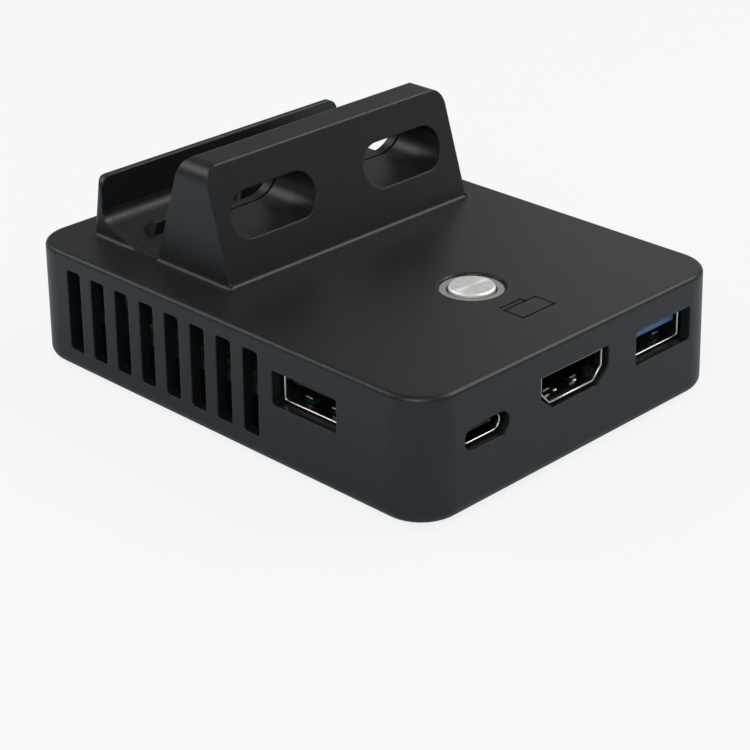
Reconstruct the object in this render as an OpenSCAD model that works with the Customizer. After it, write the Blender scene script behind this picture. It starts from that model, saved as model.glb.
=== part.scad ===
// Desk adapter that holds a handheld console upright over a plug and links it to a screen.
// Units are millimetres. X runs along the cradle, the socket face looks to -Y and the
// slotted side to -X. The origin is under the middle of the box, level with the feet.

/* [Body] */
// Width across the deck, along X
body_w = 72; // [71:0.5:78]
// Length of the deck, along Y
body_l = 94; // [93:0.5:100]
// Height of the housing from its lower rim to the deck
body_h = 21.6; // [21:0.2:24]
// Radius of the upright corners
corner_r = 7.2; // [6:0.1:9]
// Radius of the deck's outer edge
top_edge = 0.9; // [0.5:0.1:1.5]
// Radius of the lower edge
low_edge = 2; // [1.2:0.1:2]
// Angle by which the walls spread towards the base
draft = 0.8; // [0.3:0.1:1.2]
// Wall thickness
wall = 2.2; // [2:0.1:2.4]
// Deck thickness
deck_t = 2; // [1.8:0.1:2.2]
// How far the feet stand out below the rim
foot_out = 0.8; // [0.6:0.1:1.2]

/* [Cradle] */
// Middle of the cradle, along X
cradle_x = 1.25; // [0:0.05:1.5]
// Length of the cradle at the deck
cradle_l = 56.6; // [54:0.1:58]
// Foot of the backrest's front face, along Y
rest_y = 4.8; // [4:0.1:5.5]
// Height of the backrest above the deck
rest_h = 19.65; // [18.5:0.05:20.5]
// Lean of the backrest's front face from upright
front_lean = 16.2; // [15:0.1:17.5]
// Lean of the console in the slot from upright
slot_lean = 18; // [17:0.5:19]
// Low corner of the slot, along Y
slot_y = 23.55; // [23.2:0.05:24]
// Depth of that corner below the deck
slot_dip = 1.5; // [1.2:0.1:1.8]
// Inner face of the front lip, along Y
lip_y = 37.5; // [37:0.1:37.8]
// Height of the lip above the deck
lip_h = 11.1; // [9.5:0.1:11.5]
// Thickness of the lip at its top
lip_t = 1.4; // [1.2:0.1:1.8]
// Lean of the lip's outer face
lip_lean = 9.1; // [7:0.1:10]
// Radius of the lip's outer corners, seen from above
lip_round = 1.5; // [0.8:0.1:2]
// Radius inside the slot
slot_r = 2.5; // [2:0.1:3]
// Thickness of the slot liner
liner_t = 1.8; // [1.6:0.1:2]
// Width of the housing rim left at each end of the liner
rim = 1.8; // [1.5:0.1:2.2]
// Length of the liner's rear skin, up the backrest
liner_h = 19.4; // [18:0.1:19.6]

/* [Vents] */
// Space between the two backrest vents
vent_gap = 11.55; // [10:0.05:14]
// Distance of a backrest vent from the cradle's end
vent_end = 3.6; // [3.2:0.05:5]
// Height of a backrest vent
vent_h = 7.8; // [6.5:0.1:8.2]
// Middle of the backrest vents above the deck
vent_z = 10.43; // [9.8:0.05:11]
// Number of slots in the slotted side
slots = 8; // [6:1:8]
// Distance from slot to slot
slot_pitch = 6.35; // [6:0.05:6.5]
// Width of one slot
slot_w = 3.55; // [2.6:0.05:3.8]
// Middle of the first slot, along Y
slot_first = 34.9; // [34:0.1:35.5]
// Lower end of the slots
slot_z0 = 4.75; // [4.5:0.05:6]
// Upper end of the slots
slot_z1 = 19.55; // [18:0.05:19.6]

/* [Sockets] */
// Upper face of the main board
board_z = 11.65; // [11:0.05:12]
// Middle of the fast socket, measured from the right wall
fast_in = 15.1; // [14.5:0.1:16]
// Middle of the side socket, measured from the socket face
side_in = 25.25; // [24:0.05:26]
// Middle of the video socket, along X
video_x = -1.3; // [-2.5:0.1:0]
// Middle of the power inlet, measured from the slotted wall
power_in = 14.1; // [13.5:0.1:15]
// How far the two wide sockets sit behind the outer face
wide_back = 2; // [1.8:0.1:2.6]
// How far the video socket sits behind the outer face
video_back = 0.8; // [0.5:0.1:1.6]
// How far the power inlet sits behind the outer face
power_back = 1.4; // [1:0.1:2]

/* [Button] */
// Middle of the button, along X
button_x = 1.05; // [0:0.05:2]
// Middle of the button, measured from the socket face
button_in = 24.2; // [23.5:0.1:25]
// Radius of the metal cap
cap_r = 3.95; // [3.6:0.05:4.1]
// How far the cap stands above the deck
cap_out = 0.25; // [0.1:0.05:0.6]
// Radius of the hole in the deck
hole_r = 5.45; // [5.3:0.05:5.8]
// Depth of the light ring below the deck
ring_dip = 0.45; // [0.2:0.05:0.8]

/* [Hidden] */
$fn = 64;
rim_z = foot_out;
deck_z = rim_z + body_h;
spread = tan(draft);
edge = 0.35;
snug = 0.002;
back_x = body_w / 2;
front_y = body_l / 2;
boss_x = back_x - 5;
boss_y = front_y - 6;
boss_r = 2.7;
plate_z0 = rim_z + 0.1;
plate_z1 = plate_z0 + 2;
post_spots = [[-13, 16 - front_y], [back_x - 11, 23 - front_y], [11 - back_x, front_y - 14],
    [back_x - 8, front_y - 14]];
foot_x = back_x - 10;
foot_y = front_y - 11;
foot_spots = [[-foot_x, -foot_y], [foot_x, -foot_y], [-foot_x, foot_y], [foot_x, foot_y]];
fast_x = back_x - fast_in;
power_x = power_in - back_x;
side_y = side_in - front_y;
button_y = button_in - front_y;
vent_l = cradle_l / 2 - vent_end - vent_gap / 2;
vent_x = (cradle_l / 2 - vent_end + vent_gap / 2) / 2;
boss_spots = [[-boss_x, -boss_y], [boss_x, -boss_y], [-boss_x, boss_y], [boss_x, boss_y]];
floor_end = (lip_y - slot_y) / cos(slot_lean);
lip_floor = (lip_y - slot_y) * tan(slot_lean) - slot_dip;
nook_angle = 90 + slot_lean;
seam_z = lip_floor + slot_r / tan(nook_angle / 2);
leg_t = 0.9;
end_lean = 1;
ledge = 1;
skin = 2;
wide_w = 13.1;
wide_h = 5.7;
wide_d = 14;
fast_z = board_z + wide_h / 2;
side_z = fast_z + 0.2;
video_z = board_z + 0.25;
inlet_w = 8.94;
inlet_h = 3.26;
power_z = board_z + inlet_h / 2;
plug_s = 7.5;
plug_drop = liner_t + 1.4;
plug_board_t = 1.2;
switch_h = 3.5;
plunger_out = 1;
cap_t = 1.6;
stem_z0 = board_z + switch_h + plunger_out;
stem_z1 = deck_z + cap_out - cap_t;

// Rectangle with round corners
module round_rect(w, l, r) {
    square([w - 2 * r, l], center = true);
    square([w, l - 2 * r], center = true);
    for (x = [-1, 1], y = [-1, 1])
        translate([x * (w / 2 - r), y * (l / 2 - r)]) circle(r = r);
}

// Slot shape with half-round ends
module stadium(l, h) {
    square([l - h, h], center = true);
    for (s = [-1, 1]) translate([s * (l - h) / 2, 0]) circle(d = h);
}

// Corner between a floor along +X and a wall at the angle a from it, outside a round of
// radius r: it fills an inner corner when added and rounds an outer one when taken away
module nook(a, r) {
    t = r / tan(a / 2);
    o = 0.4;
    difference() {
        polygon([[t, -o], [t, r], [t * cos(a), t * sin(a)],
            [t * cos(a) - o * sin(a), t * sin(a) + o * cos(a)], [-o, -o]]);
        translate([t, r]) circle(r = r + snug);
    }
}

// Outline from the corner axis out to a wall that spreads downwards, with both edges round
module side_profile(z0, z1, r, et, eb) {
    foot = r + (z1 - z0) * spread;
    difference() {
        polygon([[0, z0], [foot, z0], [r, z1], [0, z1]]);
        translate([r, z1]) rotate(180) nook(90 + draft, et);
        if (eb > 0) translate([foot, z0]) mirror([1, 0]) nook(90 - draft, eb);
    }
}

// Block with round upright corners; w and l are its size at the height z1
module block(w, l, z0, z1, r, et, eb) {
    translate([r - w / 2, r - l / 2, z0]) cube([w - 2 * r, l - 2 * r, z1 - z0]);
    for (s = [0, 1]) mirror([s, 0, 0])
        translate([w / 2 - r, 0, 0]) rotate([90, 0, 0])
            linear_extrude(l - 2 * r, center = true) side_profile(z0, z1, r, et, eb);
    for (s = [0, 1]) mirror([0, s, 0])
        translate([0, l / 2 - r, 0]) rotate([90, 0, 90])
            linear_extrude(w - 2 * r, center = true) side_profile(z0, z1, r, et, eb);
    for (x = [0, 1], y = [0, 1]) mirror([x, 0, 0]) mirror([0, y, 0])
        translate([w / 2 - r, l / 2 - r, 0])
            rotate_extrude(angle = 90) side_profile(z0, z1, r, et, eb);
}

// Upright bar outline with leaning ends and round top corners
module arch(half, h, r, lean, down) {
    foot = half + down * tan(lean);
    top = half - h * tan(lean);
    difference() {
        polygon([[-foot, -down], [foot, -down], [top, h], [-top, h]]);
        for (s = [0, 1]) mirror([s, 0]) translate([top, h]) rotate(180) nook(90 + lean, r);
    }
}

// Places a Y-Z outline along X, centred on the cradle and measured from the deck
module along_cradle(len) {
    translate([cradle_x, 0, deck_z]) rotate([90, 0, 90]) linear_extrude(len, center = true) children();
}

// Places an X-Z outline along Y over the cradle
module across_cradle() {
    translate([cradle_x, 50, deck_z]) rotate([90, 0, 0]) linear_extrude(60) children();
}

// Places an X-Z outline through the backrest alone
module through_rest() {
    translate([cradle_x, slot_y + 1, deck_z]) rotate([90, 0, 0]) linear_extrude(25) children();
}

// Frame of the leaning slot: Y along its floor, Z up its rear face
module in_slot() {
    translate([cradle_x, slot_y, deck_z - slot_dip]) rotate([slot_lean, 0, 0]) children();
}

function rest_front(z) = rest_y + z * tan(front_lean);
function rest_back(z) = slot_y - (z + slot_dip) * tan(slot_lean);
function lip_back(z) = lip_y + lip_t + (lip_h - z) * tan(lip_lean);

// Side-view frame of the leaning slot: X along its floor, Y up its rear face
module tilted() {
    translate([slot_y, -slot_dip]) rotate(slot_lean) children();
}

// Backrest seen from the side
module rest_outline() {
    difference() {
        intersection() {
            tilted() translate([-40, -1]) square([40, 50]);
            translate([rest_y, 0]) rotate(-front_lean) translate([0, -3]) square([40, 50]);
            translate([0, -1]) square([40, rest_h + 1]);
        }
        translate([rest_front(rest_h), rest_h]) mirror([0, 1]) nook(90 + front_lean, 0.5);
        translate([rest_back(rest_h), rest_h]) rotate(180) nook(90 + slot_lean, 1.5);
    }
}

// Lip with the ramp in front of it, seen from the side
module lip_outline() {
    difference() {
        union() {
            intersection() {
                translate([lip_y, -1]) square([6, lip_h + 1]);
                translate([lip_back(0), 0]) rotate(lip_lean) translate([-20, -3]) square([20, 30]);
            }
            translate([slot_y + 3, -1]) square([lip_y + 1 - slot_y - 3, seam_z + 2]);
        }
        translate([lip_y, lip_h]) mirror([0, 1]) nook(90, 0.4);
        translate([lip_back(lip_h), lip_h]) rotate(180) nook(90 + lip_lean, 0.75);
    }
}

// Round between the slot's floor and the lip, seen from the side
module lip_nook() {
    translate([lip_y, lip_floor]) rotate(90) nook(nook_angle, slot_r);
}

// Open space of the slot, seen from the side
module slot_outline() {
    difference() {
        intersection() {
            tilted() square([60, 60]);
            translate([lip_y - 60, -20]) square([60, 60]);
        }
        tilted() nook(90, slot_r);
        lip_nook();
    }
}

// Liner seen from the side: rear skin, floor and the leg behind the lip's face
module liner_outline() {
    intersection() {
        tilted() translate([-liner_t, -liner_t]) {
            square([60, liner_t]);
            square([liner_t, liner_h + liner_t]);
        }
        translate([lip_y + leg_t - 60, -20]) square([60, 60]);
    }
    tilted() nook(90, slot_r);
    intersection() {
        translate([lip_y, lip_floor - 1.5]) square([leg_t, seam_z - lip_floor + 1.5]);
        tilted() translate([0, -liner_t]) square([60, 30]);
    }
    lip_nook();
}

module liner_body() {
    intersection() {
        along_cradle(cradle_l) liner_outline();
        in_slot() translate([0, 40, 0]) rotate([90, 0, 0]) linear_extrude(60)
            arch(cradle_l / 2 - rim, liner_h, 2, end_lean, 6);
    }
}

// Hollow behind the backrest skin and under the liner, seen from the side
module hollow_outline() {
    top = 16;
    in = skin / cos(front_lean);
    back = liner_t / cos(slot_lean) - 0.1;
    low = -slot_dip - back;
    polygon([[rest_front(-3) + in, -3], [rest_front(top) + in, top], [rest_back(top) - back, top],
        [rest_back(low) - back, low], [slot_y, low], [lip_y - 0.3, low + (lip_y - 0.3 - slot_y) * tan(slot_lean)],
        [lip_y - 0.3, -5]]);
}

module vent_shape(grow) {
    for (s = [-1, 1]) translate([s * vent_x, vent_z]) stadium(vent_l + 2 * grow, vent_h + 2 * grow);
}

// Small fillets where the cradle stands on the deck
module cradle_fillets() {
    r = 0.8;
    rear = lip_back(0) - lip_round;
    along_cradle(cradle_l) translate([rest_y, 0]) mirror([1, 0]) nook(90 + front_lean, r);
    along_cradle(cradle_l - 2 * lip_round) translate([lip_back(0), 0]) nook(90 + lip_lean, r);
    for (s = [0, 1]) translate([cradle_x, 0, 0]) mirror([s, 0, 0]) {
        translate([cradle_l / 2, (rest_y + rear) / 2, deck_z]) rotate([90, 0, 0])
            linear_extrude(rear - rest_y, center = true) nook(90 + end_lean, r);
        translate([cradle_l / 2, rest_y, deck_z]) rotate([0, 0, -90])
            rotate_extrude(angle = 90) difference() {
                square([r, r]);
                translate([r, r]) circle(r = r);
            }
        translate([cradle_l / 2 - lip_round, rear, deck_z]) rotate_extrude(angle = 90)
            translate([lip_round, 0]) nook(90 + lip_lean, r);
    }
}

module cradle_solid() {
    intersection() {
        along_cradle(cradle_l + 4) rest_outline();
        across_cradle() arch(cradle_l / 2, rest_h, 3.2, end_lean, 1);
    }
    intersection() {
        along_cradle(cradle_l + 4) lip_outline();
        across_cradle() arch(cradle_l / 2, lip_h, 2.6, end_lean, 1);
    }
}

// Cuts that round the upright outer corners of the lip along the edge of its leaning faces
module lip_corners() {
    for (s = [0, 1]) translate([cradle_x, 0, deck_z]) mirror([s, 0, 0])
        translate([-cradle_l / 2, lip_back(0), 0]) rotate([lip_lean, 0, 0])
            rotate([0, atan(tan(end_lean) * cos(lip_lean)), 0]) translate([0, 0, 0.05])
                linear_extrude(lip_h + 1) mirror([0, 1])
                    nook(90 + asin(sin(end_lean) * sin(lip_lean)), lip_round);
}

// Collars that line the backrest vents behind the front skin
module vent_collars() {
    difference() {
        intersection() {
            through_rest() vent_shape(1.3);
            along_cradle(cradle_l) polygon([[rest_front(0) + 1, 0], [rest_front(17) + 1, 17],
                [rest_back(17) - liner_t / cos(slot_lean) - edge, 17],
                [rest_back(0) - liner_t / cos(slot_lean) - edge, 0]]);
        }
        through_rest() vent_shape(0);
    }
}

module end_ribs() {
    for (s = [0, 1]) translate([cradle_x, 0, 0]) mirror([s, 0, 0])
        translate([cradle_l / 2 - rim - ledge, slot_y - 5.5, deck_z - 5.6])
            cube([rim + ledge + 1.6, 17, 4]);
}

module top_housing() color("#2c2e30") {
    spread_in = 2 * deck_t * spread;
    difference() {
        union() {
            difference() {
                union() {
                    block(body_w, body_l, rim_z, deck_z, corner_r, top_edge, low_edge);
                    difference() {
                        cradle_solid();
                        lip_corners();
                    }
                    cradle_fillets();
                }
                block(body_w - 2 * wall + spread_in, body_l - 2 * wall + spread_in,
                    -1, deck_z - deck_t, corner_r - wall, 0.5, 0);
            }
            for (p = boss_spots) translate([p.x, p.y, plate_z1])
                cylinder(r = boss_r, h = deck_z - deck_t - plate_z1 + 0.5);
            end_ribs();
        }
        along_cradle(cradle_l) slot_outline();
        intersection() {
            along_cradle(cradle_l + 4) slot_outline();
            translate([-45, 0, deck_z]) cube([90, 60, 30]);
        }
        along_cradle(cradle_l - 2 * rim - 2 * ledge) hollow_outline();
        liner_body();
        through_rest() vent_shape(0);
        for (i = [0:slots - 1])
            translate([-back_x - 3, slot_first - i * slot_pitch, (slot_z0 + slot_z1) / 2])
                rotate([90, 0, 90]) linear_extrude(6) round_rect(slot_w, slot_z1 - slot_z0, 0.6);
        translate([-back_x - 3, side_y, side_z - 0.05]) rotate([90, 0, 90])
            linear_extrude(6) round_rect(14.4, 6, 0.5);
        translate([fast_x, 6 - front_y, fast_z - 0.05]) rotate([90, 0, 0])
            linear_extrude(9) round_rect(14.2, 6.1, 0.5);
        translate([video_x, 6 - front_y, video_z]) rotate([90, 0, 0])
            linear_extrude(9) polygon(video_window());
        translate([power_x, 6 - front_y, power_z]) rotate([90, 0, 0])
            linear_extrude(9) stadium(10.2, 4.2);
        translate([button_x, button_y, deck_z - 4]) cylinder(r = hole_r, h = 8);
        translate([button_x, button_y, deck_z - 0.3])
            cylinder(r1 = hole_r, r2 = hole_r + 0.6, h = 0.6);
        for (p = boss_spots) translate([p.x, p.y, plate_z1 - 1]) cylinder(r = 1.15, h = 10);
    }
    difference() {
        vent_collars();
        liner_body();
    }
}

module slot_liner() color("#27292b") {
    difference() {
        union() {
            liner_body();
            in_slot() for (s = [0, 1]) mirror([s, 0, 0]) {
                translate([cradle_l / 2 - 7.15, 0.58 * floor_end, 0]) guide_peg();
                translate([9.5, plug_s, -plug_drop]) cylinder(r = 1.9, h = plug_drop - 0.5);
            }
        }
        through_rest() vent_shape(0);
        in_slot() {
            translate([0, plug_s, -6]) linear_extrude(9) round_rect(12.4, 6.2, 1.5);
            for (s = [-1, 1]) translate([s * 9.5, plug_s, -6]) cylinder(r = 0.85, h = 5);
        }
    }
}

// Tapered peg that guides the console's lower edge
module guide_peg() {
    intersection() {
        rotate([90, 0, 0]) linear_extrude(10, center = true)
            polygon([[-2.1, -0.5], [2.1, -0.5], [1.1, 2], [-1.1, 2]]);
        rotate([90, 0, 90]) linear_extrude(10, center = true)
            polygon([[-1.6, -0.5], [1.6, -0.5], [0.6, 2], [-0.6, 2]]);
    }
}

module base_plate() color("#242628") {
    difference() {
        union() {
            translate([0, 0, plate_z0]) linear_extrude(plate_z1 - plate_z0)
                round_rect(body_w - 2 * wall, body_l - 2 * wall, corner_r - wall);
            for (p = post_spots) translate([p.x, p.y, plate_z1 - 0.5])
                cylinder(r = 2.6, h = board_z - 1.6 - plate_z1 + 0.5);
        }
        for (p = boss_spots) translate([p.x, p.y, plate_z0 - 1]) {
            cylinder(r = 1.5, h = 4);
            cylinder(r = 2.6, h = 2.2);
        }
        for (p = post_spots) translate([p.x, p.y, plate_z1 + 1]) cylinder(r = 0.9, h = 12);
        for (p = foot_spots) translate([p.x, p.y, plate_z0 - 1]) cylinder(r = 4.1, h = 1.8);
    }
}

module rubber_feet() color("#1b1c1d")
    for (p = foot_spots) translate([p.x, p.y, 0]) {
        cylinder(r1 = 3.6, r2 = 4, h = 0.4);
        translate([0, 0, 0.4]) cylinder(r = 4, h = plate_z0 + 0.4);
    }

module case_screws() color("#8c8f92")
    for (p = boss_spots) translate([p.x, p.y, plate_z0 + 0.1]) difference() {
        union() {
            cylinder(r = 2.3, h = 1.1);
            cylinder(r = 1.1, h = 8.6);
        }
        translate([-1.4, -0.3, -1]) cube([2.8, 0.6, 1.6]);
        translate([-0.3, -1.4, -1]) cube([0.6, 2.8, 1.6]);
    }

module main_board() color("#2e6b45") {
    difference() {
        translate([-back_x + wall + 0.7, -front_y + wall + 0.5, board_z - 1.6])
            cube([body_w - 2 * wall - 1.4, body_l - 2 * wall - 1, 1.6]);
        for (x = [-1, 1], y = [-1, 1])
            translate([x * boss_x, y * boss_y, board_z]) cube([6.8, 6.8, 6], center = true);
        for (x = [-1, 1], y = [-1, 1])
            translate([x * (boss_x + 3.4), y * (boss_y + 3.4), board_z]) cube([7, 7, 6], center = true);
        for (p = post_spots) translate([p.x, p.y, board_z - 3]) cylinder(r = 1.1, h = 5);
    }
}

module board_screws() color("#a4a7a9")
    for (p = post_spots) translate([p.x, p.y, board_z]) difference() {
        union() {
            cylinder(r = 2, h = 1.2);
            translate([0, 0, -6]) cylinder(r = 0.85, h = 6.5);
        }
        translate([-1.2, -0.25, 0.6]) cube([2.4, 0.5, 2]);
        translate([-0.25, -1.2, 0.6]) cube([0.5, 2.4, 2]);
    }

// Frames of the sockets: the mouth looks to -Y, the origin is the middle of the mouth
module at_fast() {
    translate([fast_x, wide_back - front_y, fast_z]) children();
}

module at_side() {
    translate([wide_back - back_x, side_y, side_z]) rotate([0, 0, -90]) children();
}

module at_video() {
    translate([video_x, video_back - front_y, video_z]) children();
}

module at_power() {
    translate([power_x, power_back - front_y, power_z]) children();
}

// Extrudes an X-Z outline backwards from the mouth, from y0 to y1
module backwards(y0, y1) {
    translate([0, y1, 0]) rotate([90, 0, 0]) linear_extrude(y1 - y0) children();
}

module wide_shell() color("#b9babb") {
    difference() {
        backwards(0, wide_d) round_rect(wide_w, wide_h, 0.6);
        backwards(-1, wide_d - 0.35) round_rect(wide_w - 0.7, wide_h - 0.7, 0.3);
        for (x = [-3, 3]) translate([x - 1.2, 1.6, -4]) cube([2.4, 5, 8]);
        translate([-8, 2, -0.9]) cube([16, 4.4, 1.8]);
    }
    for (x = [-3, 3], s = [0, 1]) mirror([0, 0, s])
        translate([x - 0.8, 6.8, wide_h / 2 - 0.35]) rotate([3 + 7 * s, 0, 0])
            translate([0, -5, 0]) cube([1.6, 5, 0.25]);
    for (s = [0, 1]) mirror([s, 0, 0])
        translate([wide_w / 2 - 0.35, 6.6, -0.6]) rotate([0, 0, -8]) translate([0, -4.4, 0])
            cube([0.25, 4.5, 1.2]);
}

module wide_tongue(tip) {
    backwards(tip, 10) translate([0, 1.2]) square([11.1, 1.8], center = true);
    backwards(10, wide_d - 0.4) round_rect(wide_w - 0.8, wide_h - 0.8, 0.3);
}

module wide_contacts() {
    for (x = [-3.5, -1, 1, 3.5]) translate([x - 0.5, 1.6, 0.12]) cube([1, 8.4, 0.18]);
}

module fast_socket_shell() at_fast() wide_shell();

module fast_socket_tongue() color("#3f74ad") at_fast() wide_tongue(0.3);

module fast_socket_contacts() color("#c9a14e") at_fast() {
    for (x = [-3.5, -1, 1, 3.5]) translate([x - 0.5, 3.4, 0.12]) cube([1, 6.6, 0.18]);
    for (x = [-4, -2, 0, 2, 4]) translate([x - 0.35, 1.4, 0.12]) cube([0.7, 1.4, 0.18]);
}

module side_socket_shell() at_side() wide_shell();

module side_socket_tongue() color("#17181a") at_side() wide_tongue(1.1);

module side_socket_contacts() color("#c9a14e") at_side() wide_contacts();

// Video outline drawn in by g
function video_outline(g) = [[g - 7.5, 5.4 - g], [7.5 - g, 5.4 - g], [7.5 - g, 2.3 + 0.39 * g],
    [5.4 - 0.44 * g, g], [0.44 * g - 5.4, g], [g - 7.5, 2.3 + 0.39 * g]];
function video_window() = [[-8.2, 5.75], [8.2, 5.75], [8.2, 2], [5.3, -0.4], [-5.3, -0.4], [-8.2, 2]];

module video_socket_shell() color("#c3c2bd") at_video() {
    difference() {
        backwards(0, 11) polygon(video_outline(0));
        backwards(-1, 10.7) polygon(video_outline(0.35));
        for (x = [-3.2, 3.2]) translate([x - 1.1, 2.2, -1]) cube([2.2, 4.2, 8]);
    }
    for (x = [-3.2, 3.2]) {
        translate([x - 0.7, 6.5, 5.05]) rotate([9, 0, 0]) translate([0, -4.2, 0]) cube([1.4, 4.3, 0.25]);
        translate([x - 0.7, 6.5, 0.1]) rotate([-9, 0, 0]) translate([0, -4.2, 0]) cube([1.4, 4.3, 0.25]);
    }
}

module video_socket_tongue() color("#151617") at_video() {
    backwards(3.4, 8) translate([0, 3.2]) square([10.8, 1.2], center = true);
    backwards(8, 10.6) polygon(video_outline(0.4));
}

module video_socket_contacts() color("#c9a14e") at_video()
    for (i = [-4:5], s = [0, 1]) translate([i - 0.75, 3.7, 2.48 + s * 1.32]) cube([0.45, 4.3, 0.12]);

module power_inlet_shell() color("#b9babb") at_power() difference() {
    backwards(0, 7.3) stadium(inlet_w, inlet_h);
    backwards(-1, 7) stadium(inlet_w - 0.6, inlet_h - 0.6);
}

module power_inlet_tongue() color("#17181a") at_power() {
    backwards(0.9, 5.4) square([6.7, 0.7], center = true);
    backwards(5.4, 6.95) stadium(inlet_w - 0.7, inlet_h - 0.7);
}

module plug_board() color("#2e6b45") in_slot() difference() {
    translate([-13, 1.6, -plug_drop - plug_board_t]) cube([26, 10.9, plug_board_t]);
    for (s = [-1, 1]) translate([s * 9.5, plug_s, -8]) cylinder(r = 1, h = 8);
}

module plug_base() color("#1d1f20") in_slot() difference() {
    translate([0, plug_s, -plug_drop]) linear_extrude(plug_drop + 1) round_rect(12, 5.8, 1.4);
    translate([0, plug_s, -plug_drop - 1]) linear_extrude(plug_drop + 3) stadium(8.35, 2.5);
}

module plug_shell() color("#c9cacb") in_slot() translate([0, plug_s, -plug_drop]) difference() {
    linear_extrude(plug_drop + 7.4) stadium(8.25, 2.4);
    translate([0, 0, -1]) linear_extrude(plug_drop + 10) stadium(7.75, 1.9);
}

module plug_core() color("#141516") in_slot() translate([0, plug_s, -plug_drop]) difference() {
    linear_extrude(plug_drop + 7.1) stadium(7.7, 1.85);
    translate([0, 0, plug_drop + 2.2]) linear_extrude(6) square([6.9, 0.85], center = true);
}

module plug_screws() color("#a4a7a9") in_slot()
    for (s = [-1, 1]) translate([s * 9.5, plug_s, -plug_drop - plug_board_t - 1]) difference() {
        union() {
            cylinder(r = 1.7, h = 1);
            cylinder(r = 0.8, h = 4.2);
        }
        translate([-1, -0.25, -1]) cube([2, 0.5, 1.5]);
        translate([-0.25, -1, -1]) cube([0.5, 2, 1.5]);
    }

module ribbon() color("#c98a3a") difference() {
    translate([cradle_x - 5, slot_y + 8, board_z + 0.8]) cube([10, 0.3, 14]);
    in_slot() translate([-20, -20, -plug_drop - plug_board_t]) cube([40, 60, 30]);
}

module ribbon_socket() color("#1a1b1d") difference() {
    translate([cradle_x - 6.5, slot_y + 6.6, board_z]) cube([13, 3, 1.9]);
    translate([cradle_x - 5.1, slot_y + 7.95, board_z + 0.7]) cube([10.2, 0.4, 3]);
}

// Places a piece on the button's axis at the height z
module on_button(z) {
    translate([button_x, button_y, z]) children();
}

module light_ring() color("#9a9c9c") on_button(deck_z) rotate_extrude() {
    translate([cap_r + 0.3, -deck_t - 0.9])
        square([hole_r - 0.05 - cap_r - 0.3, deck_t + 0.9 - ring_dip]);
    translate([cap_r + 0.3, -deck_t - 0.9]) square([hole_r + 1.2 - cap_r, 0.9]);
}

module button_cap() color("#d8d8d0") on_button(stem_z1) rotate_extrude()
    polygon([[0, 0], [cap_r, 0], [cap_r, cap_t - 0.3], [cap_r - 0.3, cap_t], [0, cap_t]]);

module button_stem() color("#d9dadb") on_button(stem_z0) {
    cylinder(r = 2.4, h = stem_z1 - stem_z0);
    cylinder(r = 4.9, h = 0.8);
}

module switch_body() color("#202224") on_button(board_z) difference() {
    translate([-3.1, -3.1, 0]) cube([6.2, 6.2, switch_h]);
    translate([0, 0, switch_h - 1.4]) cylinder(r = 2, h = 3);
}

module switch_plunger() color("#3a3c3e") on_button(board_z + switch_h - 0.7)
    cylinder(r = 1.7, h = 0.7 + plunger_out);

module ring_lamps() color("#e8e6c8")
    for (a = [30, 150, 270]) on_button(board_z) rotate(a) translate([5.2, 0, 0.4])
        cube([1.4, 2.2, 0.8], center = true);

module video_chip() color("#161718") translate([2, 2, board_z]) chip(11, 1.1);

module hub_chip() color("#161718") translate([-16, -8, board_z]) chip(8, 1);

module power_chip() color("#161718") translate([-22, 12, board_z]) chip(6, 0.9);

module chip(w, h) {
    translate([-w / 2, -w / 2, 0.1]) cube([w, w, h - 0.1]);
    translate([-w / 2 + 0.4, -w / 2 + 0.4, 0]) cube([w - 0.8, w - 0.8, 0.2]);
}

module inductors() color("#3b3d40")
    for (p = [[-24, 21], [22, 6], [22, -6]]) translate([p.x, p.y, board_z]) {
        translate([-3, -3, 0.3]) cube([6, 6, 2.7]);
        translate([-2.6, -2.6, 0]) cube([5.2, 5.2, 0.4]);
    }

module capacitors() color("#b4b6b8")
    for (p = [[-12, 14], [-12, 21], [14, 16], [14, 23]]) translate([p.x, p.y, board_z]) {
        translate([-2.6, -2.6, 0]) cube([5.2, 5.2, 0.8]);
        translate([0, 0, 0.8]) cylinder(r = 2.5, h = 4);
    }

module crystal() color("#c2c4c5") translate([-6, -11, board_z]) {
    cube([5, 3.2, 0.9]);
    translate([0.3, 0.3, 0.9]) cube([4.4, 2.6, 0.2]);
}

top_housing();
slot_liner();
base_plate();
rubber_feet();
case_screws();
main_board();
board_screws();
fast_socket_shell();
fast_socket_tongue();
fast_socket_contacts();
side_socket_shell();
side_socket_tongue();
side_socket_contacts();
video_socket_shell();
video_socket_tongue();
video_socket_contacts();
power_inlet_shell();
power_inlet_tongue();
plug_board();
plug_shell();
plug_core();
plug_base();
plug_screws();
ribbon();
ribbon_socket();
light_ring();
button_cap();
button_stem();
switch_body();
switch_plunger();
ring_lamps();
video_chip();
hub_chip();
power_chip();
inductors();
capacitors();
crystal();
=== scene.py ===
"""Finishes, fine pieces and studio for a desk adapter with a console cradle.

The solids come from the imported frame. This file gives each of them its finish and adds the pieces
that are too fine for the solids: the rolled rims of the socket shells, the dots on the video
shell's latches, the parts soldered to the main board, and the mark printed on the deck.
"""

import math

import bmesh
import bpy
from mathutils import Matrix, Vector

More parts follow.
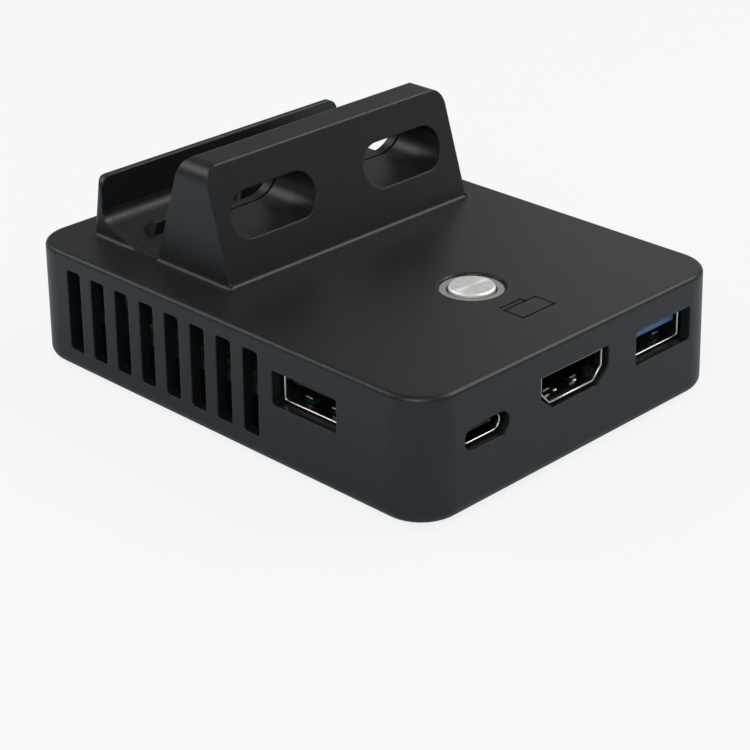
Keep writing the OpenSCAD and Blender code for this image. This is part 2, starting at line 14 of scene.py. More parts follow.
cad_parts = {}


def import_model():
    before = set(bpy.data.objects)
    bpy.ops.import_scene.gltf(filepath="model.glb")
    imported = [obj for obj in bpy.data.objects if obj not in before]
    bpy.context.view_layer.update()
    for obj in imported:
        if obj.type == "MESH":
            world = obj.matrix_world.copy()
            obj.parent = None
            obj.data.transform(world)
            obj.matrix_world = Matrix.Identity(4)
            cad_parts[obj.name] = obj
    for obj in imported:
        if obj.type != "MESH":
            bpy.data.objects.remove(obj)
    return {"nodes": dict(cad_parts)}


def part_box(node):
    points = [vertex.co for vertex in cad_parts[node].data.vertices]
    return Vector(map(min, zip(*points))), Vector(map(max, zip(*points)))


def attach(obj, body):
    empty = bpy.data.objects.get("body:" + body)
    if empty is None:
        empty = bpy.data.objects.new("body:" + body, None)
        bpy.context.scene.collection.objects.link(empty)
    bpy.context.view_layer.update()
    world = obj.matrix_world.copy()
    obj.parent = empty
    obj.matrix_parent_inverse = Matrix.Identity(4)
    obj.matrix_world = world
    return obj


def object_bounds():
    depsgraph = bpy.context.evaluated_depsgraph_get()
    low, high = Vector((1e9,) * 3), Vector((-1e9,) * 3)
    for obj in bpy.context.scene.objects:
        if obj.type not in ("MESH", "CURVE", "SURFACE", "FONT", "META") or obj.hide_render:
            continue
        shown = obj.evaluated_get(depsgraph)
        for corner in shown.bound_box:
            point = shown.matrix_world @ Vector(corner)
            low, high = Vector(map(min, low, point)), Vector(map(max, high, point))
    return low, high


bl_info = {
    "name": "Console Cradle Adapter",
    "version": (1, 0, 0),
    "blender": (4, 5, 0),
    "location": "View3D > Sidebar > Adapter",
    "description": "Dresses the adapter's solids and sets up its studio",
    "category": "Object",
}

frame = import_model()
NODES = frame["nodes"]
CAD_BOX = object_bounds()
MM = 0.001
HOUSING = "housing"
WHITE = (1.0, 1.0, 1.0)
BLACK = (0.0, 0.0, 0.0)


# Materials


class Shader:
    """A material's node tree with short ways to add and join nodes."""

    def __init__(self, name, colour, rough, metal=0.0):
        self.material = bpy.data.materials.new(name)
        self.material.use_nodes = True
        self.nodes = self.material.node_tree.nodes
        self.links = self.material.node_tree.links
        self.nodes.clear()
        self.output = self.nodes.new("ShaderNodeOutputMaterial")
        self.surface = self.nodes.new("ShaderNodeBsdfPrincipled")
        self.links.new(self.surface.outputs["BSDF"], self.output.inputs["Surface"])
        self.set(**{"Base Color": (*colour, 1.0), "Roughness": rough, "Metallic": metal})
        self.place = self.add("ShaderNodeTexCoord").outputs["Object"]

    def add(self, kind, **values):
        """A node of that kind; values go to its sockets by name or to its own settings."""
        node = self.nodes.new(kind)
        for key, value in values.items():
            if key in node.inputs:
                self.feed(node.inputs[key], value)
            else:
                setattr(node, key, value)
        return node

    def feed(self, socket, value):
        """Joins another node's output to a socket, or sets the socket to a plain value."""
        if isinstance(value, bpy.types.NodeSocket):
            self.links.new(value, socket)
        else:
            socket.default_value = value

    def set(self, **values):
        """Feeds the main surface node's sockets by name."""
        for key, value in values.items():
            self.feed(self.surface.inputs[key], value)

    def noise(self, scale, detail=2.0, stretch=None):
        """Uneven spots, scale to the metre, that stretch pulls out along an axis when under 1."""
        vector = self.place
        if stretch:
            vector = self.add("ShaderNodeMapping", Vector=self.place, Scale=stretch).outputs["Vector"]
        node = self.add("ShaderNodeTexNoise", Vector=vector, Scale=scale, Detail=detail)
        return node.outputs["Fac"]

    def ramp(self, value, low, high, start=0.35, end=0.65):
        """Colours from low to high as the value goes from start to end."""
        node = self.add("ShaderNodeValToRGB", Fac=value)
        for stop, place, colour in zip(node.color_ramp.elements, (start, end), (low, high)):
            stop.position, stop.color = place, (*colour, 1.0)
        return node.outputs["Color"]

    def span(self, value, low, high, start=0.3, end=0.7):
        """A number from low to high as the value goes from start to end."""
        node = self.add("ShaderNodeMapRange", Value=value)
        for key, number in (("From Min", start), ("From Max", end), ("To Min", low), ("To Max", high)):
            node.inputs[key].default_value = number
        return node.outputs["Result"]

    def bump(self, height, distance, strength=1.0, normal=None):
        """A normal that follows a height, laid over another normal where one is given."""
        node = self.add("ShaderNodeBump", Height=height, Distance=distance, Strength=strength)
        if normal is not None:
            self.links.new(normal, node.inputs["Normal"])
        return node.outputs["Normal"]

    def soft_edges(self, radius):
        """A normal that rounds every edge over by a radius."""
        return self.add("ShaderNodeBevel", samples=6, Radius=radius).outputs["Normal"]


def shade(colour, factor):
    """A colour made lighter or darker."""
    return tuple(part * factor for part in colour)


def moulded_plastic(name, colour, rough, grain, edge=0.25):
    """Dark moulded plastic with a fine eroded grain and slightly uneven sheen.

    The size of the grain and the rounding of the edges are in millimetres."""
    look = Shader(name, colour, rough)
    clouds = look.noise(30.0)
    look.set(**{"Base Color": look.ramp(clouds, shade(colour, 0.93), shade(colour, 1.08))})
    look.set(Roughness=look.span(look.noise(1900.0, 3.0), rough - 0.025, rough + 0.025))
    fine = look.noise(1000.0 / grain)
    bevel = look.soft_edges(edge * MM)
    look.set(Normal=look.bump(fine, 0.004 * MM, 0.5, bevel))
    return look.material


def plated_metal(name, colour, rough, drawn=WHITE, edge=0.08):
    """Thin plated sheet with faint stains, and lines along the axis that drawn pulls out."""
    look = Shader(name, colour, rough, 1.0)
    stain = look.noise(400.0)
    look.set(**{"Base Color": look.ramp(stain, shade(colour, 0.92), colour, 0.3, 0.6)})
    lines = look.noise(1400.0, 2.0, drawn)
    look.set(Roughness=look.span(lines, rough - 0.04, rough + 0.05))
    look.set(Normal=look.bump(lines, 0.0015 * MM, 0.5, look.soft_edges(edge * MM)))
    return look.material


def spun_aluminium(name, colour, centre):
    """Metal faced on a lathe: fine rings round the upright axis through the centre."""
    look = Shader(name, colour, 0.3, 0.62)
    local = look.add("ShaderNodeVectorMath", operation="SUBTRACT")
    look.feed(local.inputs[0], look.place)
    look.feed(local.inputs[1], centre)
    flat = look.add("ShaderNodeVectorMath", operation="MULTIPLY")
    look.feed(flat.inputs[0], local.outputs["Vector"])
    look.feed(flat.inputs[1], (1.0, 1.0, 0.0))
    radius = look.add("ShaderNodeVectorMath", operation="LENGTH")
    look.feed(radius.inputs[0], flat.outputs["Vector"])
    rings = look.add("ShaderNodeTexNoise", noise_dimensions="1D", Scale=4200.0, Detail=2.0)
    look.feed(rings.inputs["W"], radius.outputs["Value"])
    tangent = look.add("ShaderNodeTangent", direction_type="RADIAL", axis="Z")
    look.set(Anisotropic=0.9, Tangent=tangent.outputs["Tangent"])
    look.set(Roughness=look.span(rings.outputs["Fac"], 0.34, 0.44))
    look.set(Normal=look.bump(rings.outputs["Fac"], 0.001 * MM, 0.5, look.soft_edges(0.1 * MM)))
    return look.material


def clear_plastic(name, colour, rough, through, scatter):
    """Milky or coloured plastic that lets some light in."""
    look = Shader(name, colour, rough)
    look.set(**{"Transmission Weight": through, "IOR": 1.49, "Subsurface Weight": scatter})
    look.set(**{"Subsurface Radius": shade(WHITE, 0.6 * MM)})
    haze = look.noise(900.0, 3.0)
    look.set(Roughness=look.span(haze, rough - 0.04, rough + 0.08))
    look.set(Normal=look.bump(haze, 0.003 * MM, 0.4, look.soft_edges(0.1 * MM)))
    return look.material


def solder_mask(name, colour, copper):
    """Board lacquer over copper tracks that show as paler raised lines."""
    look = Shader(name, colour, 0.32)
    tracks = look.add("ShaderNodeTexBrick", Vector=look.place, Scale=420.0)
    for key, value in (("Color1", (*BLACK, 1.0)), ("Color2", (*BLACK, 1.0)),
                       ("Mortar", (*WHITE, 1.0)), ("Mortar Size", 0.09)):
        look.feed(tracks.inputs[key], value)
    tracks.offset, tracks.squash = 0.37, 1.6
    look.set(**{"Base Color": look.ramp(tracks.outputs["Color"], colour, copper, 0.0, 1.0)})
    look.set(Normal=look.bump(tracks.outputs["Color"], 0.03 * MM, 0.7))
    look.set(Roughness=look.span(look.noise(500.0), 0.26, 0.4))
    return look.material


def foot_rubber(name, colour):
    """Matt rubber with a little dust in its pores."""
    look = Shader(name, colour, 0.75)
    dust = look.noise(1500.0, 4.0)
    look.set(**{"Base Color": look.ramp(dust, colour, shade(colour, 1.8), 0.4, 0.75)})
    look.set(Roughness=look.span(dust, 0.68, 0.9))
    look.set(Normal=look.bump(look.noise(3500.0, 3.0), 0.012 * MM, 0.6))
    return look.material


def printed_ink(name, colour):
    """Dull ink that lets specks of the plastic through."""
    look = Shader(name, colour, 0.5)
    speck = look.noise(4200.0)
    look.set(**{"Base Color": look.ramp(speck, colour, shade(colour, 2.2), 0.5, 0.8)})
    look.set(Roughness=look.span(speck, 0.42, 0.6))
    look.set(**{"Specular IOR Level": 0.08})
    return look.material


# Meshes


def piece(name, mesh, material, body=HOUSING):
    """A new piece in the shared frame, with its finish, that rides on a body."""
    thing = bpy.data.objects.new(name, mesh)
    bpy.context.scene.collection.objects.link(thing)
    thing.data.materials.clear()
    thing.data.materials.append(material)
    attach(thing, body)


def mesh_from(name, build, smooth=None):
    """A mesh made by a function that fills a bmesh; smooth is the angle in degrees that stays sharp."""
    work = bmesh.new()
    build(work)
    bmesh.ops.recalc_face_normals(work, faces=work.faces)
    mesh = bpy.data.meshes.new(name)
    work.to_mesh(mesh)
    work.free()
    if smooth is not None:
        mesh.shade_smooth()
        mesh.set_sharp_from_angle(angle=math.radians(smooth))
    return mesh


def add_between(work, first, last):
    """A closed solid between two outlines with the same number of points."""
    starts = [work.verts.new(point) for point in first]
    ends = [work.verts.new(point) for point in last]
    work.faces.new(starts[::-1])
    work.faces.new(ends)
    for i in range(len(starts)):
        work.faces.new((starts[i - 1], starts[i], ends[i], ends[i - 1]))


def add_block(work, centre, size, chamfer, place):
    """A box with small rounds along all its edges, set down by the matrix place."""
    first = len(work.verts)
    whole = Matrix.Translation(centre) @ Matrix.Diagonal((*size, 1.0))
    made = bmesh.ops.create_cube(work, size=1.0, matrix=whole)
    edges = list({edge for vert in made["verts"] for edge in vert.link_edges})
    bmesh.ops.bevel(work, geom=edges, offset=chamfer, segments=2, affect="EDGES", profile=0.5)
    work.verts.ensure_lookup_table()
    bmesh.ops.transform(work, matrix=place, verts=work.verts[first:])


def add_bar(work, outline, width, place):
    """A bar along the local Y with a side outline of (x, z) points, set down by the matrix place."""
    near, far = ([place @ Vector((x, y, z)) for x, z in outline] for y in (-width / 2, width / 2))
    add_between(work, near, far)


def rim_line(name, axis):
    """The middle line of a shell's flat rim, as points in order.

    The rim is the shell's lowest end along the axis, 0 for X or 1 for Y."""
    work = bmesh.new()
    work.from_mesh(NODES[name].data)
    front = min(vert.co[axis] for vert in work.verts)
    rim = {face for face in work.faces
           if all(vert.co[axis] - front < FLAT for vert in face.verts)}
    border = [edge for edge in work.edges if sum(face in rim for face in edge.link_faces) == 1]
    loops = []
    while border:
        first = border.pop()
        loop = list(first.verts)
        while loop[-1] is not loop[0]:
            step = next(edge for edge in border if loop[-1] in edge.verts)
            border.remove(step)
            loop.append(step.other_vert(loop[-1]))
        loops.append([vert.co.copy() for vert in loop[:-1]])
    work.free()
    inner, outer = sorted(loops, key=loop_length)[-2:]
    return [(point + nearest_on(inner, point)) / 2 for point in outer]


def loop_length(loop):
    """The length of a closed run of points."""
    return sum((loop[i] - loop[i - 1]).length for i in range(len(loop)))


def nearest_on(loop, point):
    """The place on a closed run of points that lies nearest to a point."""
    best = None
    for i, end in enumerate(loop):
        start = loop[i - 1]
        along = end - start
        share = min(1.0, max(0.0, (point - start).dot(along) / along.length_squared))
        place = start + along * share
        if best is None or (place - point).length < (best - point).length:
            best = place
    return best


def turned(x, y, z, degrees):
    """The matrix that turns about the upright axis and then moves to a place."""
    return Matrix.Translation((x, y, z)) @ Matrix.Rotation(math.radians(degrees), 4, "Z")


def bar_outline(start, end, width):
    """Outline of a round-ended stroke from start to end."""
    turn = math.atan2(end[1] - start[1], end[0] - start[0])
    half = width / 2
    points = []
    for (x, y), first in ((end, -90), (start, 90)):
        for step in range(7):
            angle = turn + math.radians(first + 30 * step)
            points.append((x + half * math.cos(angle), y + half * math.sin(angle)))
    return points


def dress(names, material):
    """Gives CAD nodes a finish in place of their plain one."""
    for name in names:
        mesh = NODES[name].data
        mesh.materials.clear()
        mesh.materials.append(material)


def colour_prop(text, value):
    """A setting that holds a linear colour."""
    return bpy.props.FloatVectorProperty(
        name=text, description=f"{text}, linear", subtype="COLOR", size=3,
        min=0.0, max=1.0, default=value)


def length_prop(text, about, millimetres):
    """A setting that holds a length."""
    return bpy.props.FloatProperty(
        name=text, description=about, default=millimetres * MM, unit="LENGTH", precision=5)


def light_prop(text, about, value):
    """A setting that holds a lamp's power in watts or the strength of the even light."""
    return bpy.props.FloatProperty(name=text, description=about, default=value, min=0.0)


# Settings


class HousingSettings(bpy.types.PropertyGroup):
    """Colours of the dark mouldings."""

    shell: colour_prop("Housing colour", (0.0055, 0.0068, 0.0082))
    liner: colour_prop("Liner colour", (0.0052, 0.0064, 0.0076))
    base: colour_prop("Base colour", (0.0052, 0.0064, 0.0076))
    grain: bpy.props.FloatProperty(
        name="Grain", description="Size of the moulded grain in millimetres", default=0.18, min=0.05)


class MetalSettings(bpy.types.PropertyGroup):
    """Colours of the plated and bare metal."""

    # Darker than bare nickel: painted shade for the dark hollows that the shells reflect inside
    nickel_painted_light: colour_prop("Socket shell colour", (0.44, 0.43, 0.415))
    zinc: colour_prop("Screw colour", (0.50, 0.51, 0.52))
    gold: colour_prop("Contact colour", (0.78, 0.52, 0.18))
    cap: colour_prop("Cap colour", (0.95, 0.945, 0.915))
    # A much lighter copy of the shells' nickel: painted highlight on the rolled rims and the latch dots
    rim: colour_prop("Rim colour", (0.86, 0.845, 0.81))
    rim_radius: length_prop("Rim radius", "Radius of the rounded front edge of the shells", 0.17)


class MarkSettings(bpy.types.PropertyGroup):
    """The plain screen outline printed on the deck."""

    width: length_prop("Width", "Width of the screen outline", 7.6)
    height: length_prop("Height", "Height of the screen outline", 4.1)
    stroke: length_prop("Stroke", "Width of the printed lines", 0.38)
    tab: length_prop("Tab", "From the outline to the line behind it", 1.05)
    ahead: length_prop("Distance", "From the socket face to the outline", 10.2)


class PartSettings(bpy.types.PropertyGroup):
    """Small parts soldered to the main board."""

    length: length_prop("Length", "Length of a chip capacitor", 1.9)
    width: length_prop("Width", "Width of a chip capacitor", 1.1)
    height: length_prop("Height", "Height of a chip capacitor", 0.9)
    ceramic: colour_prop("Ceramic colour", (0.20, 0.135, 0.08))
    tin: colour_prop("Solder colour", (0.72, 0.73, 0.73))


class StudioSettings(bpy.types.PropertyGroup):
    """Lights, floor and camera."""

    world: light_prop("Sky", "Strength of the even light", 0.265)
    key: light_prop("Key", "Power of the soft light in front on the left", 2.8)
    rear: light_prop("Rear", "Power of the soft light behind on the left", 1.7)
    side: light_prop("Side", "Power of the soft light in front on the right", 3.0)
    top: light_prop("Top", "Power of the soft light above the right side", 0.35)
    glow: light_prop("Glow", "Power of the low light far behind on the right", 0.38)


# Places

DECK_Z = 22.4 * MM
# How far a point may lie off a rim's plane
FLAT = 0.005 * MM
# Each shell with the axis that its mouth faces along, 0 for X or 1 for Y
RIM_AXES = {"fast_socket_shell": 1, "video_socket_shell": 1, "power_inlet_shell": 1, "side_socket_shell": 0}
# The latches' dots: sideways from the shell's middle, back from its mouth, and up from its underside
DOT_ASIDE = (-1.5 * MM, 3.3 * MM)
DOT_BACK = 2.3 * MM
DOT_RISE = 0.28 * MM
DOT_RADII = (0.50 * MM, 0.60 * MM, 0.40 * MM)
# Rows of chip capacitors: first x and y in millimetres, turn in degrees, count and pitch. A row
# that isn't turned runs along Y, a turned one along X.
PART_ROWS = ((-31.4, -11.4, 0, 5, 6.5), (-22.6, -11.2, 0, 4, 2.1), (10.8, -3.2, 0, 4, 2.6),
             (-3.4, 10.4, 90, 4, 2.5), (-30.6, 21.0, 90, 2, 3.0), (8.5, -25.0, 0, 3, 2.4))
# A chip capacitor's ceramic middle and one tinned end, as shares of its length
CERAMIC_SHARE, END_SHARE = 0.62, 0.2
# How much wider and taller the tinned ends are than the ceramic
END_WIDER, END_TALLER = 1.03, 1.04
# How far the ceramic and the ends stand off the board, and the rounds along their edges
CERAMIC_LIFT, END_LIFT = 0.04 * MM, 0.03 * MM
CERAMIC_ROUND, END_ROUND = 0.04 * MM, 0.05 * MM
# A fillet's height and width as shares of the capacitor's, and its reach along the board
FILLET_RISE, FILLET_WIDTH = 0.7, 0.9
FILLET_RUN = 0.35 * MM
# The chips with the distance between their leads
CHIP_PITCH = {"video_chip": 0.8 * MM, "hub_chip": 0.8 * MM, "power_chip": 1.0 * MM}
LEAD_THICK = 0.12 * MM
# Where a lead leaves its chip, as a share of the chip's height, and its width as a share of the pitch
LEAD_RISE, LEAD_WIDTH = 0.55, 0.45
# What a row of leads leaves free at the chip's corners, both ends together
LEAD_MARGIN = 1.2 * MM
# The mark's middle lies this far to the right of the button's
MARK_ASIDE = 0.3 * MM
# Ends of the line behind the mark's outline, from its middle, as shares of its width
MARK_LINE = (-0.47, 0.18)
# Undersides and tops of the printed lines
INK_LEVELS = (DECK_Z - 0.02 * MM, DECK_Z + 0.012 * MM)


def seat_places(board):
    """Where each chip capacitor stands on the board's top, as matrices, row by row."""
    places = []
    for x, y, turn, count, pitch in PART_ROWS:
        for step in range(count):
            along, across = (step * pitch, 0) if turn else (0, step * pitch)
            places.append(turned((x + along) * MM, (y + across) * MM, board, turn))
    return places


def add_capacitors(work, seats, look):
    """The ceramic middles of the chip capacitors."""
    size = look.length * CERAMIC_SHARE, look.width, look.height
    for seat in seats:
        add_block(work, (0, 0, look.height / 2 + CERAMIC_LIFT), size, CERAMIC_ROUND, seat)


def add_ends(work, seats, look):
    """The tinned ends of the chip capacitors."""
    size = look.length * END_SHARE, look.width * END_WIDER, look.height * END_TALLER
    aside = look.length * (1 - END_SHARE) / 2
    for seat in seats:
        for side in (-1, 1):
            add_block(work, (side * aside, 0, look.height / 2 + END_LIFT), size, END_ROUND, seat)


def add_fillets(work, seats, look):
    """Hollow wedges of solder from the board up the ends of the chip capacitors."""
    rise = look.height * FILLET_RISE
    turns = [math.radians(angle) for angle in (0, 12, 30, 50, 70, 90)]
    hollow = [(FILLET_RUN * (1 - math.cos(turn)), rise * (1 - math.sin(turn))) for turn in turns]
    end = Matrix.Translation((look.length / 2, 0, 0))
    for seat in seats:
        for turn in (0, 180):
            place = seat @ turned(0, 0, 0, turn) @ end
            add_bar(work, [(0, 0), *hollow], look.width * FILLET_WIDTH, place)


def lead_outline(rise):
    """Side of a bent lead as (x, z) points: out of the package at the height rise, down to z 0."""
    inside, shoulder, ankle, toe = -0.05 * MM, 0.28 * MM, 0.48 * MM, 0.95 * MM
    bend = 0.08 * MM
    over = [(inside, rise), (shoulder, rise), (ankle, LEAD_THICK), (toe, LEAD_THICK)]
    under = [(toe, 0), (ankle - bend, 0), (shoulder - bend, rise - LEAD_THICK), (inside, rise - LEAD_THICK)]
    return over + under


def add_leads(work):
    """Bent leads along the four sides of each chip, from mid-height down to the board."""
    for name, pitch in CHIP_PITCH.items():
        low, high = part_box(name)
        centre = (low + high) / 2
        half = (high.x - low.x) / 2
        outline = lead_outline((high.z - low.z) * LEAD_RISE)
        count = int((2 * half - LEAD_MARGIN) / pitch) + 1
        for turn in (0, 90, 180, 270):
            side = turned(centre.x, centre.y, low.z, turn)
            for step in range(count):
                along = (step - (count - 1) / 2) * pitch
                add_bar(work, outline, pitch * LEAD_WIDTH, side @ Matrix.Translation((half, along, 0)))


def add_dots(work):
    """Raised dots on the two latches in the floor of the video shell."""
    low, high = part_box("video_socket_shell")
    middle = (low.x + high.x) / 2
    for aside in DOT_ASIDE:
        place = Matrix.Translation((middle + aside, low.y + DOT_BACK, low.z + DOT_RISE))
        whole = place @ Matrix.Diagonal((*DOT_RADII, 1.0))
        bmesh.ops.create_uvsphere(work, u_segments=20, v_segments=12, radius=1.0, matrix=whole)


def add_mark(work, mark):
    """The screen's outline, and a line behind its left part that is tied to it at one end."""
    low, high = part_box("button_cap")
    middle = (low.x + high.x) / 2 + MARK_ASIDE
    left, right = middle - mark.width / 2, middle + mark.width / 2
    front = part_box("top_housing")[0].y + mark.ahead
    back = front + mark.height
    corners = [(left, front), (right, front), (right, back), (left, back)]
    strokes = list(zip(corners, corners[1:] + corners[:1]))
    start, end = (middle + share * mark.width for share in MARK_LINE)
    behind = back + mark.tab
    strokes += [((start, behind), (end, behind)), ((end, behind), (end, back))]
    for first, last in strokes:
        outline = bar_outline(first, last, mark.stroke)
        under, over = ([(x, y, z) for x, y in outline] for z in INK_LEVELS)
        add_between(work, under, over)


# Operators


class ADAPTER_OT_housing(bpy.types.Operator):
    """Finish the housing, slot liner, base plate and feet"""

    bl_idname = "adapter.housing"
    bl_label = "Mouldings"

    def execute(self, context):
        look = context.scene.adapter_housing
        shell = moulded_plastic("housing_plastic", tuple(look.shell), rough=0.38, grain=look.grain, edge=0.45)
        liner = moulded_plastic("liner_plastic", tuple(look.liner), rough=0.44, grain=look.grain, edge=0.12)
        base = moulded_plastic("base_plastic", tuple(look.base), rough=0.5, grain=look.grain)
        dress(["top_housing"], shell)
        dress(["slot_liner"], liner)
        dress(["base_plate"], base)
        dress(["rubber_feet"], foot_rubber("foot_rubber", (0.012, 0.012, 0.013)))
        return {"FINISHED"}


class ADAPTER_OT_sockets(bpy.types.Operator):
    """Finish the four sockets' shells, tongues and contacts"""

    bl_idname = "adapter.sockets"
    bl_label = "Sockets"

    def execute(self, context):
        metal = context.scene.adapter_metal
        # The shells' nickel is darkened here as painted shade
        shell = plated_metal("socket_nickel", tuple(metal.nickel_painted_light), rough=0.22, drawn=(1.0, 1.0, 0.12))
        blue = moulded_plastic("blue_tongue", (0.060, 0.190, 0.420), rough=0.36, grain=0.3, edge=0.1)
        dark = moulded_plastic("dark_tongue", (0.012, 0.012, 0.013), rough=0.38, grain=0.3, edge=0.1)
        gold = plated_metal("contact_gold", tuple(metal.gold), rough=0.22, edge=0.03)
        dress([*RIM_AXES, "plug_shell"], shell)
        dress(["fast_socket_tongue"], blue)
        dress(["side_socket_tongue", "video_socket_tongue", "power_inlet_tongue", "plug_core",
               "plug_base"], dark)
        dress(["fast_socket_contacts", "side_socket_contacts", "video_socket_contacts"], gold)
        return {"FINISHED"}


class ADAPTER_OT_rims(bpy.types.Operator):
    """Roll the front edges of the sockets' shells over and press the dots of the latches, in a lighter nickel
    as painted highlight
    """

    bl_idname = "adapter.rims"
    bl_label = "Rolled rims"

    def execute(self, context):
        metal = context.scene.adapter_metal
        # A lighter copy of the shells' nickel, as painted highlight on the rims and the dots
        nickel_painted_light = plated_metal("rim_nickel", tuple(metal.rim), rough=0.2, edge=0.03)
        for name, axis in RIM_AXES.items():
            line = rim_line(name, axis)
            tube = bpy.data.curves.new(name.replace("shell", "rim"), "CURVE")
            tube.dimensions, tube.bevel_depth, tube.bevel_resolution = "3D", metal.rim_radius, 3
            path = tube.splines.new("POLY")
            path.points.add(len(line) - 1)
            for point, place in zip(path.points, line):
                point.co = (*place, 1.0)
            path.use_cyclic_u = True
            piece(tube.name, tube, nickel_painted_light)
        piece("latch_dimples", mesh_from("latch_dimples", add_dots, 60), nickel_painted_light)
        return {"FINISHED"}


class ADAPTER_OT_button(bpy.types.Operator):
    """Finish the button, its light ring and the switch under it"""

    bl_idname = "adapter.button"
    bl_label = "Button"

    def execute(self, context):
        metal = context.scene.adapter_metal
        low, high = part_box("button_cap")
        dress(["button_cap"], spun_aluminium("cap_aluminium", tuple(metal.cap), (low + high) / 2))
        ring = clear_plastic("ring_milky", (0.37, 0.37, 0.36), rough=0.34, through=0.12, scatter=0.35)
        stem = clear_plastic("stem_milky", (0.62, 0.62, 0.60), rough=0.4, through=0.1, scatter=0.3)
        lens = clear_plastic("lamp_lens", (0.72, 0.70, 0.52), rough=0.2, through=0.5, scatter=0.2)
        dress(["light_ring"], ring)
        dress(["button_stem"], stem)
        dress(["ring_lamps"], lens)
        switch = moulded_plastic("switch_plastic", (0.013, 0.013, 0.014), rough=0.45, grain=0.25, edge=0.08)
        dress(["switch_body", "switch_plunger"], switch)
        return {"FINISHED"}


class ADAPTER_OT_boards(bpy.types.Operator):
    """Finish the boards, their parts and the screws"""

    bl_idname = "adapter.boards"
    bl_label = "Boards"

    def execute(self, context):
        metal = context.scene.adapter_metal
        lacquer = solder_mask("board_lacquer", (0.005, 0.034, 0.028), (0.010, 0.075, 0.060))
        package = moulded_plastic("chip_package", (0.011, 0.011, 0.012), rough=0.55, grain=0.12, edge=0.08)
        can = plated_metal("can_aluminium", (0.62, 0.63, 0.64), rough=0.34, drawn=(1.0, 1.0, 0.1))
        zinc = plated_metal("screw_zinc", tuple(metal.zinc), rough=0.33)
        film = clear_plastic("ribbon_film", (0.55, 0.26, 0.06), rough=0.25, through=0.2, scatter=0.0)
        dress(["main_board", "plug_board"], lacquer)
        dress([*CHIP_PITCH, "inductors", "ribbon_socket"], package)
        dress(["capacitors", "crystal"], can)
        dress(["case_screws", "board_screws", "plug_screws"], zinc)
        dress(["ribbon"], film)
        return {"FINISHED"}


class ADAPTER_OT_small_parts(bpy.types.Operator):
    """Solder small capacitors and the chips' leads to the main board"""

    bl_idname = "adapter.small_parts"
    bl_label = "Small board parts"

    def execute(self, context):
        look = context.scene.adapter_parts
        seats = seat_places(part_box("main_board")[1].z)
        ceramic = moulded_plastic("capacitor_ceramic", tuple(look.ceramic), rough=0.45, grain=0.12, edge=0.03)
        tin = plated_metal("tin_solder", tuple(look.tin), rough=0.24, edge=0.04)
        for name, add, smooth, finish, slot in (
                ("chip_capacitors", add_capacitors, 40, ceramic, "can"),
                ("capacitor_ends", add_ends, 40, tin, "steel"),
                ("solder_fillets", add_fillets, 35, tin, "steel")):
            piece(name, mesh_from(name, lambda work: add(work, seats, look), smooth), finish)
        piece("chip_leads", mesh_from("chip_leads", add_leads), tin)
        return {"FINISHED"}


class ADAPTER_OT_mark(bpy.types.Operator):
    """Print the plain screen outline on the deck"""

    bl_idname = "adapter.mark"
    bl_label = "Deck mark"

    def execute(self, context):
        mark = context.scene.adapter_mark
        ink = printed_ink("mark_ink", (0.002, 0.002, 0.002))
        piece("deck_mark", mesh_from("deck_mark", lambda work: add_mark(work, mark)), ink)
        return {"FINISHED"}


class ADAPTER_OT_studio(bpy.types.Operator):
    """Set up the pale floor, soft lights and camera"""

    bl_idname = "adapter.studio"
    bl_label = "Studio"

    def execute(self, context):
        settings = context.scene.adapter_studio
        floor()
        world(settings.world)
        for setting, (place, size, tint) in LAMPS.items():
            area(f"{setting}_light", place, size, getattr(settings, setting), tint)
        camera()
        context.scene.view_settings.view_transform = "Standard"
        return {"FINISHED"}


# Studio

# Each lamp by its setting, with its place and side in metres and its tint
LAMPS = {"key": ((-0.55, -0.35, 0.55), 0.50, (0.88, 0.96, 1.0)),
         "rear": ((-0.43, 0.67, 0.60), 0.45, WHITE),
         "side": ((0.59, -0.43, 0.65), 0.45, (1.0, 0.98, 0.9)),
         "top": ((0.65, 0.05, 0.74), 0.35, WHITE),
         "glow": ((0.95, 0.45, 0.42), 0.60, (1.0, 0.97, 0.92))}
# Half the floor's side, in metres, and how much of its own colour gives way to plain white
FLOOR_REACH, FLOOR_WHITE = 0.9, 0.85
CAMERA_PLACE = Vector((-0.24231, -0.24525, 0.16895))
CAMERA_RIGHT = Vector((0.69760784, -0.71642125, -0.00915944))
CAMERA_UP = Vector((0.30534262, 0.28571075, 0.90836956))
CAMERA_LENS = 106.0
CAMERA_SENSOR = 36.0
CAMERA_SHIFT = (-0.0332, -0.0796)
CAMERA_CLIP = (0.01, 10.0)


def floor():
    """A pale sheet that shows white to the camera and through glass, and keeps the shadow."""
    work = bmesh.new()
    bmesh.ops.create_grid(work, x_segments=1, y_segments=1, size=FLOOR_REACH)
    mesh = bpy.data.meshes.new("floor")
    work.to_mesh(mesh)
    work.free()
    sheet = bpy.data.objects.new("floor", mesh)
    bpy.context.scene.collection.objects.link(sheet)
    look = Shader("floor_paper", (0.72, 0.79, 0.86), 0.9)
    white = look.add("ShaderNodeEmission", Color=(*WHITE, 1.0), Strength=1.0)
    rays = look.add("ShaderNodeLightPath")
    seen = look.add("ShaderNodeMath", operation="MAXIMUM")
    look.feed(seen.inputs[0], rays.outputs["Is Camera Ray"])
    look.feed(seen.inputs[1], rays.outputs["Is Transmission Ray"])
    share = look.add("ShaderNodeMath", operation="MULTIPLY")
    look.feed(share.inputs[0], seen.outputs["Value"])
    look.feed(share.inputs[1], FLOOR_WHITE)
    mix = look.add("ShaderNodeMixShader")
    look.feed(mix.inputs[0], share.outputs["Value"])
    look.feed(mix.inputs[1], look.surface.outputs["BSDF"])
    look.feed(mix.inputs[2], white.outputs["Emission"])
    look.links.new(mix.outputs["Shader"], look.output.inputs["Surface"])
    sheet.data.materials.append(look.material)


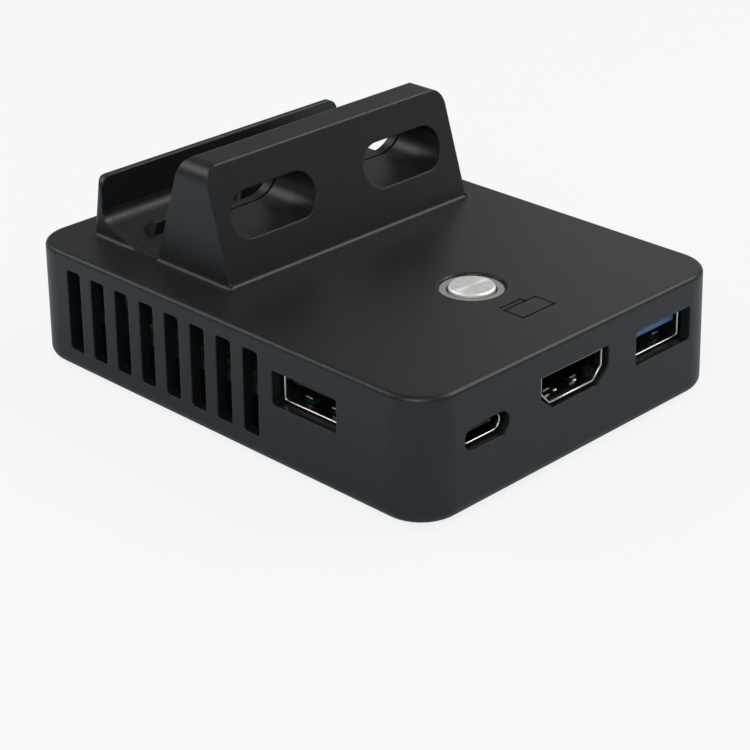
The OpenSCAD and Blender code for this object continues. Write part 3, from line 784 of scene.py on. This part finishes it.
def world(strength):
    """Even light that shows white to the camera."""
    scene = bpy.context.scene
    scene.world = bpy.data.worlds.new("studio_air")
    scene.world.use_nodes = True
    tree = scene.world.node_tree
    tree.nodes.clear()
    soft = tree.nodes.new("ShaderNodeBackground")
    soft.inputs["Color"].default_value = (*WHITE, 1.0)
    soft.inputs["Strength"].default_value = strength
    white = tree.nodes.new("ShaderNodeBackground")
    white.inputs["Color"].default_value = (*WHITE, 1.0)
    rays = tree.nodes.new("ShaderNodeLightPath")
    mix = tree.nodes.new("ShaderNodeMixShader")
    output = tree.nodes.new("ShaderNodeOutputWorld")
    tree.links.new(rays.outputs["Is Camera Ray"], mix.inputs[0])
    tree.links.new(soft.outputs[0], mix.inputs[1])
    tree.links.new(white.outputs[0], mix.inputs[2])
    tree.links.new(mix.outputs[0], output.inputs["Surface"])


def area(name, place, size, power, colour):
    """A square soft light that looks at the middle of the adapter."""
    data = bpy.data.lights.new(name, "AREA")
    data.size, data.energy, data.color = size, power, colour
    lamp = bpy.data.objects.new(name, data)
    bpy.context.scene.collection.objects.link(lamp)
    lamp.location = place
    aim = (CAD_BOX[0] + CAD_BOX[1]) / 2 - Vector(place)
    lamp.rotation_euler = aim.to_track_quat("-Z", "Y").to_euler()


def camera():
    """The photograph's view: a long lens in front of the rounded corner."""
    data = bpy.data.cameras.new("camera")
    data.lens, data.sensor_width = CAMERA_LENS, CAMERA_SENSOR
    data.shift_x, data.shift_y = CAMERA_SHIFT
    data.clip_start, data.clip_end = CAMERA_CLIP
    view = bpy.data.objects.new("camera", data)
    bpy.context.scene.collection.objects.link(view)
    back = CAMERA_RIGHT.cross(CAMERA_UP)
    turn = Matrix((CAMERA_RIGHT, CAMERA_UP, back)).transposed()
    view.matrix_world = Matrix.Translation(CAMERA_PLACE) @ turn.to_4x4()
    bpy.context.scene.camera = view


# Panel

STEPS = (ADAPTER_OT_housing, ADAPTER_OT_sockets, ADAPTER_OT_rims, ADAPTER_OT_button, ADAPTER_OT_boards,
         ADAPTER_OT_small_parts, ADAPTER_OT_mark, ADAPTER_OT_studio)
GROUPS = {"adapter_housing": HousingSettings, "adapter_metal": MetalSettings,
          "adapter_parts": PartSettings, "adapter_mark": MarkSettings,
          "adapter_studio": StudioSettings}


class ADAPTER_PT_steps(bpy.types.Panel):
    """Lists the steps and their settings"""

    bl_label = "Adapter"
    bl_space_type = "VIEW_3D"
    bl_region_type = "UI"
    bl_category = "Adapter"

    def draw(self, context):
        for step in STEPS:
            self.layout.operator(step.bl_idname)
        for group in GROUPS:
            settings = getattr(context.scene, group)
            box = self.layout.box()
            for name in settings.bl_rna.properties.keys():
                if name not in {"rna_type", "name"}:
                    box.prop(settings, name)


def register():
    """Adds the classes and the settings to Blender."""
    for part in (*GROUPS.values(), *STEPS, ADAPTER_PT_steps):
        bpy.utils.register_class(part)
    for name, group in GROUPS.items():
        setattr(bpy.types.Scene, name, bpy.props.PointerProperty(type=group))


def unregister():
    """Takes the settings and the classes out again."""
    for name in GROUPS:
        delattr(bpy.types.Scene, name)
    for part in reversed((*GROUPS.values(), *STEPS, ADAPTER_PT_steps)):
        bpy.utils.unregister_class(part)


def main():
    """Runs every step in order."""
    register()
    for step in STEPS:
        family, name = step.bl_idname.split(".")
        getattr(getattr(bpy.ops, family), name)()


if __name__ == "__main__":
    main()
